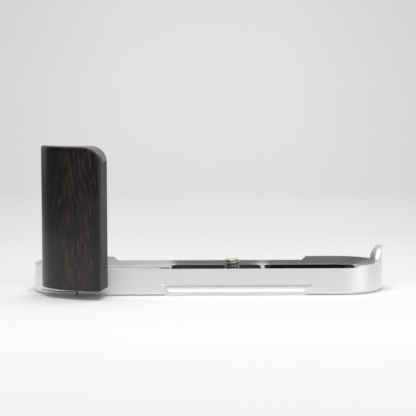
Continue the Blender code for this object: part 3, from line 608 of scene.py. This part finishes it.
camera_screw = bpy.data.objects.new("camera_screw_turned", screw_mesh)
bpy.context.scene.collection.objects.link(camera_screw)
settle(camera_screw, turned_steel, "screw", "camera_screw")

# The retaining ring and the washer: a stamped spring-steel ring snapped on the screw's neck above
# the web, and a punched white nylon washer under it that the head bears on.
RING_EDGE_EASE = 0.0001
ring = dressed_copy("screw_clip", "retaining_ring", RING_EDGE_EASE)
settle(ring, ground_steel, "screw_carrier", "screw_clip")

# Natural nylon: a milky white that lets light a little way in, faintly clouded.
WASHER_EDGE_EASE = 0.0001
CLOUD_MM = 5 / 3
nylon, nodes, shader = new_material("natural_nylon", Roughness=0.45, Subsurface_Weight=0.15)
shader.inputs["Subsurface Radius"].default_value = (0.001, 0.001, 0.0008)
place = add_node(nodes, "ShaderNodeTexCoord")
cloud = add_node(
    nodes,
    "ShaderNodeTexNoise",
    {"Vector": place.outputs["Object"], "Scale": MM_PER_METRE / CLOUD_MM, "Detail": 2.0},
)
tone = add_node(
    nodes,
    "ShaderNodeValToRGB",
    {"Fac": cloud.outputs["Fac"]},
    stops=[(0.3, "#dcd8cc"), (0.7, "#ebe8de")],
)
nodes.links.new(tone.outputs["Color"], shader.inputs["Base Color"])
washer = dressed_copy("screw_washer", "nylon_washer", WASHER_EDGE_EASE)
settle(washer, nylon, "screw_carrier", "screw_washer")

# The floor pads: black rubber sheets, moulded and glued into shallow recesses. The left one is
# pierced for the screw, and the right one has a well moulded in it.
PAD_EDGE_EASE = 0.00025

# Moulded black rubber: the tool's fine grain leaves it matt, so it mirrors next to nothing.
PAD_GRAIN_MM = 0.25
pad_rubber, nodes, shader = new_material(
    "moulded_black_rubber", Roughness=0.85, Specular_IOR_Level=0.2
)
place = add_node(nodes, "ShaderNodeTexCoord")
grain = add_node(
    nodes,
    "ShaderNodeTexNoise",
    {"Vector": place.outputs["Object"], "Scale": MM_PER_METRE / PAD_GRAIN_MM, "Detail": 3.0},
)
tone = add_node(
    nodes,
    "ShaderNodeValToRGB",
    {"Fac": grain.outputs["Fac"]},
    stops=[(0.3, "#0a0a0b"), (0.7, "#121214")],
)
relief = add_node(
    nodes,
    "ShaderNodeBump",
    {"Strength": 0.4, "Distance": 0.00004, "Height": grain.outputs["Fac"]},
)
nodes.links.new(tone.outputs["Color"], shader.inputs["Base Color"])
nodes.links.new(relief.outputs["Normal"], shader.inputs["Normal"])
for side in ("left", "right"):
    pad = dressed_copy(f"floor_pad_{side}", f"rubber_pad_{side}", PAD_EDGE_EASE)
    settle(pad, pad_rubber, "base", f"floor_pad_{side}")

# The grip: one block of very dark hardwood with an upright grain, shaped, sanded and oiled. Its
# growth rings show as pointed arches on the front, broken into reddish wisps.
HEART_X = -0.0547
FRONT_Y = -0.0312
HEART_DEPTH_MM = 7.0
RING_WIDTH_MM = 2.0
RING_LEAN = 0.15
RING_DRIFT_MM = 6.0
RING_WEIGHT = 0.24
DRIFT_STRETCH = (0.18, 0.18, 0.05)
WISP_STRETCH = (0.5, 0.5, 0.1)
PORE_WIDTH_MM = 0.3
PORE_STRETCH = (1.0, 1.0, 0.045)
PORE_WEIGHT = 0.45

# The reddish flame runs up the middle of the front, and the wood darkens to both sides of it.
FLAME_MIDDLE_MM = 2.5
FLAME_EDGE_MM, FLAME_END_MM = 4.0, 9.0
FLAME_DARKNESS, SIDE_DARKNESS = 0.3, 0.44

# Oiled dark rosewood: a satin sheen where it is oiled, and duller on the side towards the lens,
# which faces +X and shows the sanding.
OILED_ROUGHNESS = 0.2
SANDED_ROUGHNESS = 0.55
SANDED_FROM, SANDED_TO = 0.8, 1.0
rosewood, nodes, shader = new_material("oiled_dark_rosewood")
place = add_node(nodes, "ShaderNodeTexCoord")
centred = add_node(
    nodes,
    "ShaderNodeMapping",
    {
        "Vector": place.outputs["Object"],
        "Location": (-MM_PER_METRE * HEART_X, -MM_PER_METRE * FRONT_Y, 0),
        "Scale": (MM_PER_METRE, MM_PER_METRE, MM_PER_METRE),
    },
)
axes = add_node(nodes, "ShaderNodeSeparateXYZ", (centred,))
drifting = add_node(nodes, "ShaderNodeMapping", {"Vector": centred, "Scale": DRIFT_STRETCH})
drift = add_node(
    nodes,
    "ShaderNodeTexNoise",
    {"Vector": drifting, "Scale": 1.0, "Detail": 4.0, "Roughness": 0.6},
)
behind = add_node(
    nodes, "ShaderNodeMath", (HEART_DEPTH_MM, axes.outputs["Y"]), operation="SUBTRACT"
)
square = add_node(
    nodes, "ShaderNodeMath", (axes.outputs["X"], axes.outputs["X"]), operation="MULTIPLY"
)
reach = add_node(nodes, "ShaderNodeMath", (behind, behind, square), operation="MULTIPLY_ADD")
reach = add_node(nodes, "ShaderNodeMath", (reach,), operation="SQRT")
reach = add_node(
    nodes, "ShaderNodeMath", (axes.outputs["Z"], RING_LEAN, reach), operation="MULTIPLY_ADD"
)
reach = add_node(nodes, "ShaderNodeMath", (drift, RING_DRIFT_MM, reach), operation="MULTIPLY_ADD")
rings = add_node(nodes, "ShaderNodeMath", (reach, RING_WIDTH_MM / 2), operation="PINGPONG")
wisping = add_node(nodes, "ShaderNodeMapping", {"Vector": centred, "Scale": WISP_STRETCH})
wisps = add_node(
    nodes,
    "ShaderNodeTexNoise",
    {"Vector": wisping, "Scale": 1.0, "Detail": 5.0, "Roughness": 0.65, "Distortion": 0.6},
)
pore_map = add_node(nodes, "ShaderNodeMapping", {"Vector": centred, "Scale": PORE_STRETCH})
pores = add_node(
    nodes, "ShaderNodeTexNoise", {"Vector": pore_map, "Scale": 1 / PORE_WIDTH_MM, "Detail": 2.0}
)
off_flame = add_node(
    nodes, "ShaderNodeMath", (axes.outputs["X"], FLAME_MIDDLE_MM), operation="SUBTRACT"
)
off_flame = add_node(nodes, "ShaderNodeMath", (off_flame,), operation="ABSOLUTE")
darkness = add_node(
    nodes,
    "ShaderNodeMapRange",
    {
        "Value": off_flame,
        "From Min": FLAME_EDGE_MM,
        "From Max": FLAME_END_MM,
        "To Min": FLAME_DARKNESS,
        "To Max": SIDE_DARKNESS,
    },
    interpolation_type="SMOOTHSTEP",
)
figure = add_node(nodes, "ShaderNodeMath", (rings, RING_WEIGHT, wisps), operation="MULTIPLY_ADD")
figure = add_node(nodes, "ShaderNodeMath", (pores, PORE_WEIGHT, figure), operation="MULTIPLY_ADD")
figure = add_node(nodes, "ShaderNodeMath", (figure, darkness), operation="SUBTRACT")
tone = add_node(
    nodes,
    "ShaderNodeValToRGB",
    {"Fac": figure},
    stops=[(0.36, "#050506"), (0.5, "#140f11"), (0.62, "#241919"), (0.8, "#392721")],
)
relief = add_node(nodes, "ShaderNodeBump", {"Strength": 0.2, "Distance": 0.00004, "Height": pores})
facing = add_node(nodes, "ShaderNodeSeparateXYZ", (place.outputs["Normal"],))
sheen = add_node(
    nodes,
    "ShaderNodeMapRange",
    {
        "Value": facing.outputs["X"],
        "From Min": SANDED_FROM,
        "From Max": SANDED_TO,
        "To Min": OILED_ROUGHNESS,
        "To Max": SANDED_ROUGHNESS,
    },
)
nodes.links.new(tone.outputs["Color"], shader.inputs["Base Color"])
nodes.links.new(sheen.outputs[0], shader.inputs["Roughness"])
nodes.links.new(relief.outputs["Normal"], shader.inputs["Normal"])
grip = dressed_copy("grip_block", "wooden_grip", ease=0)
settle(grip, rosewood, "base", "grip_block")

# The liner: a band of black foam rubber glued to the grip's inner face, so that the wood and the
# screw heads don't rub the camera. Its open cells leave it matt and slightly pitted.
LINER_EDGE_EASE = 0.0002
FOAM_CELL_MM = 0.3
foam, nodes, shader = new_material("black_foam_rubber", Roughness=0.85)
place = add_node(nodes, "ShaderNodeTexCoord")
cells = add_node(
    nodes,
    "ShaderNodeTexVoronoi",
    {"Vector": place.outputs["Object"], "Scale": MM_PER_METRE / FOAM_CELL_MM},
)
tone = add_node(
    nodes,
    "ShaderNodeValToRGB",
    {"Fac": cells.outputs["Distance"]},
    stops=[(0.1, "#151515"), (0.7, "#262626")],
)
relief = add_node(
    nodes,
    "ShaderNodeBump",
    {"Strength": 0.5, "Distance": 0.00005, "Height": cells.outputs["Distance"]},
)
nodes.links.new(tone.outputs["Color"], shader.inputs["Base Color"])
nodes.links.new(relief.outputs["Normal"], shader.inputs["Normal"])
liner = dressed_copy("grip_liner", "foam_liner", LINER_EDGE_EASE)
settle(liner, foam, "base", "grip_liner")

# The spine: a milled aluminium plate let into the grip's back, with a foot that meets the tray and
# takes the two screws that hold the grip on. Black anodising leaves it a dark satin grey.
SPINE_EDGE_EASE = 0.0002
black_anodised, nodes, shader = new_material(
    "black_anodised_aluminium", Metallic=1.0, Roughness=0.45
)
place = add_node(nodes, "ShaderNodeTexCoord")
grain = add_node(
    nodes,
    "ShaderNodeTexNoise",
    {"Vector": place.outputs["Object"], "Scale": MM_PER_METRE / BLAST_GRAIN_MM, "Detail": 2.0},
)
tone = add_node(
    nodes,
    "ShaderNodeValToRGB",
    {"Fac": grain.outputs["Fac"]},
    stops=[(0.3, "#232326"), (0.7, "#2f2f33")],
)
nodes.links.new(tone.outputs["Color"], shader.inputs["Base Color"])
spine = dressed_copy("grip_spine", "grip_back_plate", SPINE_EDGE_EASE)
settle(spine, black_anodised, "base", "grip_spine")

# The fasteners: two socket screws hold the spine's foot to the tray, and three countersunk screws
# hold the spine to the wood, each in a brass insert set into it.
FASTENER_EDGE_EASE = 0.0001

# Turned brass: a warm yellow metal, a little dulled, with marks drawn 0.4 mm wide.
BRASS_MARK_MM = 0.4
brass, nodes, shader = new_material("turned_brass", Metallic=1.0, Roughness=0.3)
place = add_node(nodes, "ShaderNodeTexCoord")
marks = add_node(
    nodes,
    "ShaderNodeTexNoise",
    {"Vector": place.outputs["Object"], "Scale": MM_PER_METRE / BRASS_MARK_MM, "Detail": 2.0},
)
tone = add_node(
    nodes,
    "ShaderNodeValToRGB",
    {"Fac": marks.outputs["Fac"]},
    stops=[(0.3, "#cfa758"), (0.7, "#e0bc72")],
)
nodes.links.new(tone.outputs["Color"], shader.inputs["Base Color"])
for number in (1, 2):
    node = f"frame_screw_{number}"
    screw = dressed_copy(node, f"foot_screw_{number}", FASTENER_EDGE_EASE)
    settle(screw, ground_steel, "base", node)
for number in (1, 2, 3):
    node = f"grip_screw_{number}"
    screw = dressed_copy(node, f"back_screw_{number}", FASTENER_EDGE_EASE)
    settle(screw, ground_steel, "base", node)
    node = f"grip_insert_{number}"
    insert = dressed_copy(node, f"brass_insert_{number}", FASTENER_EDGE_EASE)
    settle(insert, brass, "base", node)
